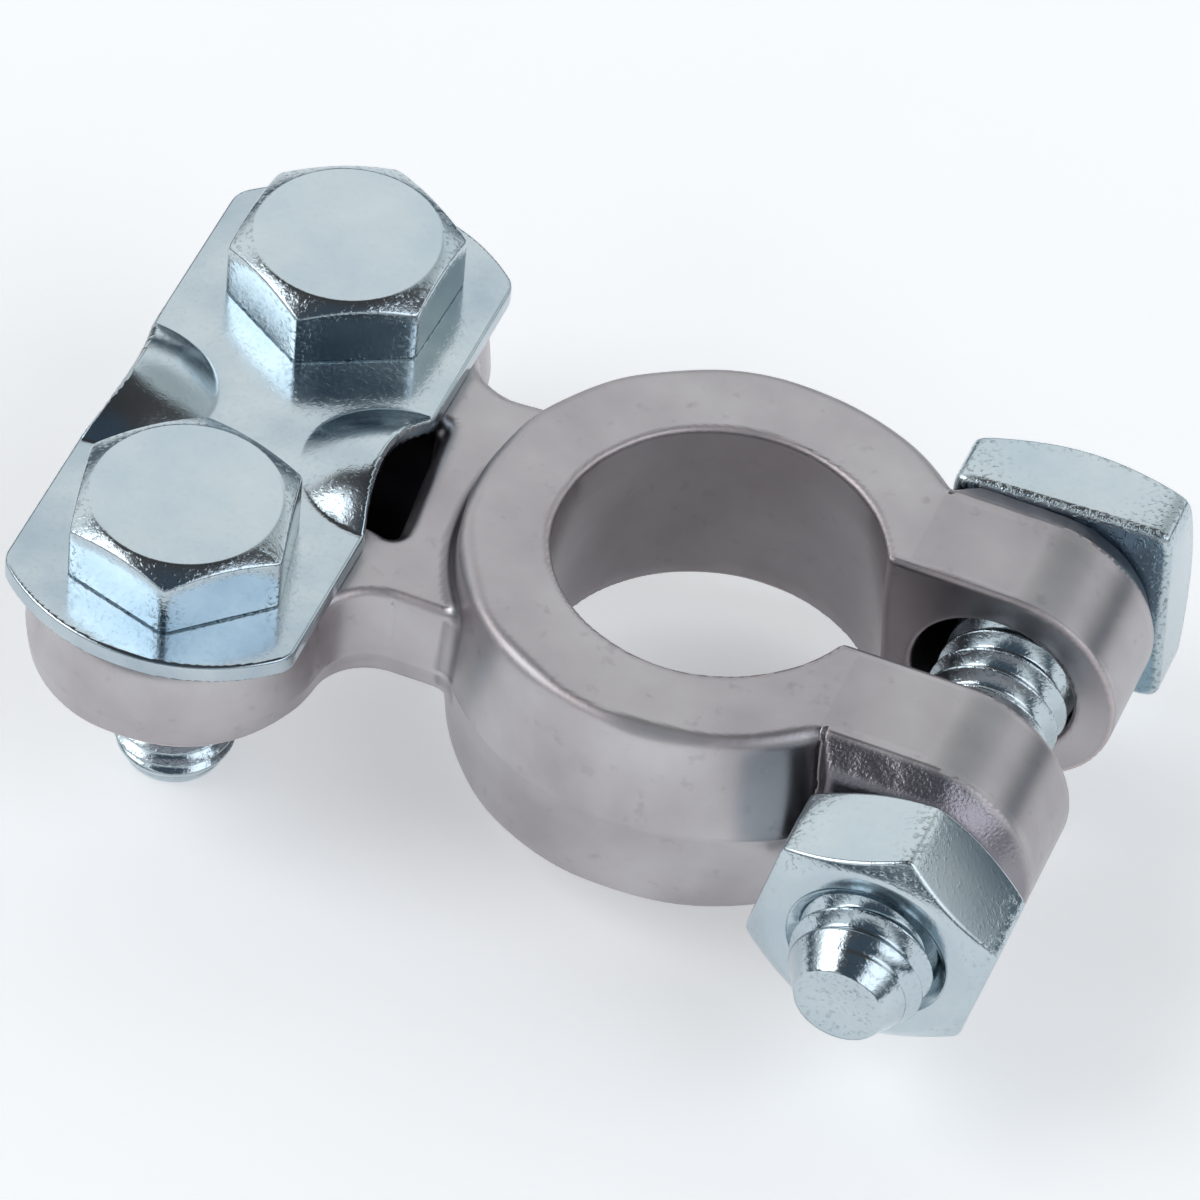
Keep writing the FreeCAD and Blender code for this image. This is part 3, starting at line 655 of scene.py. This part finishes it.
def plate_distance(x, y, z):
    """Distance from the plate's skin: half the thickness from the sheet's middle surface, inside an
    outline of two edges, drawn in where the mouths rise, and two arcs, less the bolt holes."""
    across, along = np.abs(x - LUG_X), np.abs(y - PLATE_SHIFT)
    inward = np.maximum(PLATE_HALF_WIDTH - across, 0)
    rise = plate_rise(inward, y)
    lean_x = plate_rise(inward + RISE_STEP, y) - rise
    lean_y = plate_rise(inward, y + RISE_STEP) - rise
    slope = np.hypot(lean_x, lean_y) / RISE_STEP
    middle = SADDLE_TOP + PLATE_THICK / 2 + rise
    sheet = np.abs(z - middle) / np.hypot(1, slope) - PLATE_THICK / 2
    edge = across - PLATE_HALF_WIDTH + MOUTH_DRAW * plate_rise(0 * y, y)
    end = np.hypot(across, along - PLATE_END_Y) - PLATE_END_RADIUS
    end = np.where(along > PLATE_END_Y, end, -5.0)
    outline = common(edge, end, 0.5)
    hole = PLATE_HOLE_RADIUS - np.hypot(across, np.abs(y) - LUG_Y)
    solid = common(sheet, outline, 0.2)
    return common(solid, hole, 0.15)


cable_plate = even_skin("cable_plate", "cable_plate", 0.2, plate_distance, plate_start)
cable_plate.data.materials.append(zinc_plated_steel("zinc_plated_sheet_steel", "#a8b7c1", 0.1))
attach(cable_plate, "plate")
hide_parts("cable_plate")

# The two cable bolts are hexagon bolts that draw the plate down on the cable. They are cold
# forged and zinc plated like the clamp bolt, and screw into the tapped holes of the lugs.
CABLE_BOLT = {
    "sides": 6, "flats": 11.8, "height": 4.1, "corner": 60, "seat_edge": 0.2, "major": 7.0,
    "pitch": 1.0, "length": 16.2, "tip_radius": 2.85, "tip_length": 1.4,
}
for name, node, body, side, turn in (
    ("rear_cable_bolt", "cable_bolt_rear", "rear_bolt", 1, 28.3),
    ("front_cable_bolt", "cable_bolt_front", "front_bolt", -1, 43.7),
):
    grid, grain, film = bolt_grid(turn=math.radians(turn), **CABLE_BOLT)
    grid = grid + np.array([LUG_X, side * LUG_Y, SADDLE_TOP + PLATE_THICK])
    cable_bolt = sweep(name, grid, grain=grain, film=film)
    cable_bolt.data.materials.append(zinc_bolt)
    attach(cable_bolt, body)
    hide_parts(node)

# The floor is a sheet of white paper, matt and a little lit from below so that it stays pale in
# the clamp's shadow. It lies just under the tips of the cable bolts.
FLOOR_Z = -3.96
FLOOR_HALF = 2000.0
paper = bpy.data.materials.new("white_paper_floor")
paper.use_nodes = True
tree = paper.node_tree
shader = tree.nodes["Principled BSDF"]
place = add_node(tree, "TexCoord").outputs["Object"]
fibre = add_node(tree, "TexNoise", {"Vector": place, "Scale": 40.0, "Detail": 2.0})
tone = add_node(tree, "Mix", {"Factor": fibre.outputs["Fac"], "A": linear("#f4f4f4"),
                              "B": linear("#fafafa")}, data_type="RGBA")
tree.links.new(tone.outputs[2], shader.inputs["Base Color"])
shader.inputs["Roughness"].default_value = 0.9
shader.inputs["Specular IOR Level"].default_value = 0.1
shader.inputs["Emission Color"].default_value = linear("#f4f5f6")
shader.inputs["Emission Strength"].default_value = 0.36
mesh = bpy.data.meshes.new("floor")
corners = ((-1, -1), (1, -1), (1, 1), (-1, 1))
mesh.from_pydata([(a * FLOOR_HALF * MM, b * FLOOR_HALF * MM, FLOOR_Z * MM) for a, b in corners],
                 [], [(0, 1, 2, 3)])
floor = bpy.data.objects.new("floor", mesh)
bpy.context.scene.collection.objects.link(floor)
floor.data.materials.append(paper)

# The studio is a room whose walls are dark up to about 8 degrees and bright from about 22 degrees
# up. On them lie round patches, a later one over an earlier one.
# Each step of the wall is (sine of the elevation, colour), and each patch is (azimuth from +X,
# elevation, inner radius, outer radius, colour, strength), its angles in degrees.
WALL_STEPS = ((0.14, "#43535f"), (0.27, "#adb3b6"), (0.37, "#f6fafc"))
PATCHES = (
    (270, 84, 36, 42, "#474546", 1.0),  # the dark ceiling
    (172, 52, 8, 13, "#474546", 1.0),  # dark, left and beyond the clamp
    (32, 54, 10, 17, "#474546", 1.0),  # dark, right and beyond the clamp
    (278, 52, 24, 32, "#45535f", 1.0),  # dark blue, round the camera
    (203, 42, 13, 20, "#fafcff", 3.1),  # the lamp on the left
    (350, 44, 14, 25, "#f0f6ff", 1.8),  # the weaker lamp on the right
    (70, 46, 5, 22, "#c0c8c8", 1.0),  # a grey card beyond the clamp
)
world = bpy.data.worlds.new("studio_room")
bpy.context.scene.world = world
world.use_nodes = True
tree = world.node_tree
way = add_node(tree, "TexCoord").outputs["Generated"]
up = add_node(tree, "SeparateXYZ", {"Vector": way}).outputs["Z"]
wall = add_node(tree, "ValToRGB", {"Fac": up})
ramp = wall.color_ramp
ramp.elements[0].position = 0.0
ramp.elements[0].color = linear("#3c4c59")
ramp.elements[1].position = 1.0
ramp.elements[1].color = linear("#fafcfd")
for position, colour in WALL_STEPS:
    ramp.elements.new(position).color = linear(colour)
light = wall.outputs["Color"]
for azimuth, elevation, inner, outer, colour, strength in PATCHES:
    a, e = math.radians(azimuth), math.radians(elevation)
    centre = (math.cos(a) * math.cos(e), math.sin(a) * math.cos(e), math.sin(e))
    near = add_node(tree, "VectorMath", {0: way, 1: centre}, operation="DOT_PRODUCT")
    share = add_node(tree, "MapRange", {"Value": near.outputs["Value"],
                                        "From Min": math.cos(math.radians(outer)),
                                        "From Max": math.cos(math.radians(inner))},
                     interpolation_type="SMOOTHSTEP")
    patch = tuple(c * strength for c in linear(colour)[:3]) + (1.0,)
    light = add_node(tree, "Mix", {"Factor": share.outputs["Result"], "A": light, "B": patch},
                     data_type="RGBA").outputs[2]
tree.links.new(light, tree.nodes["Background"].inputs["Color"])
tree.nodes["Background"].inputs["Strength"].default_value = 1.05

# The camera stands where it was fitted to the ring, the plate and the bolts in the photo.
camera = bpy.data.cameras.new("camera")
camera.lens = 271.256967
camera.sensor_width = 36.0
camera.clip_start = 0.01
camera_object = bpy.data.objects.new("camera", camera)
bpy.context.scene.collection.objects.link(camera_object)
camera_object.location = (0.09918508737570696, -0.3280756090664241, 0.3723672588799049)
camera_object.rotation_euler = [math.radians(a) for a in (43.1623649, -3.96838537, 22.08830484)]
bpy.context.scene.camera = camera_object
bpy.context.scene.view_settings.view_transform = "Standard"
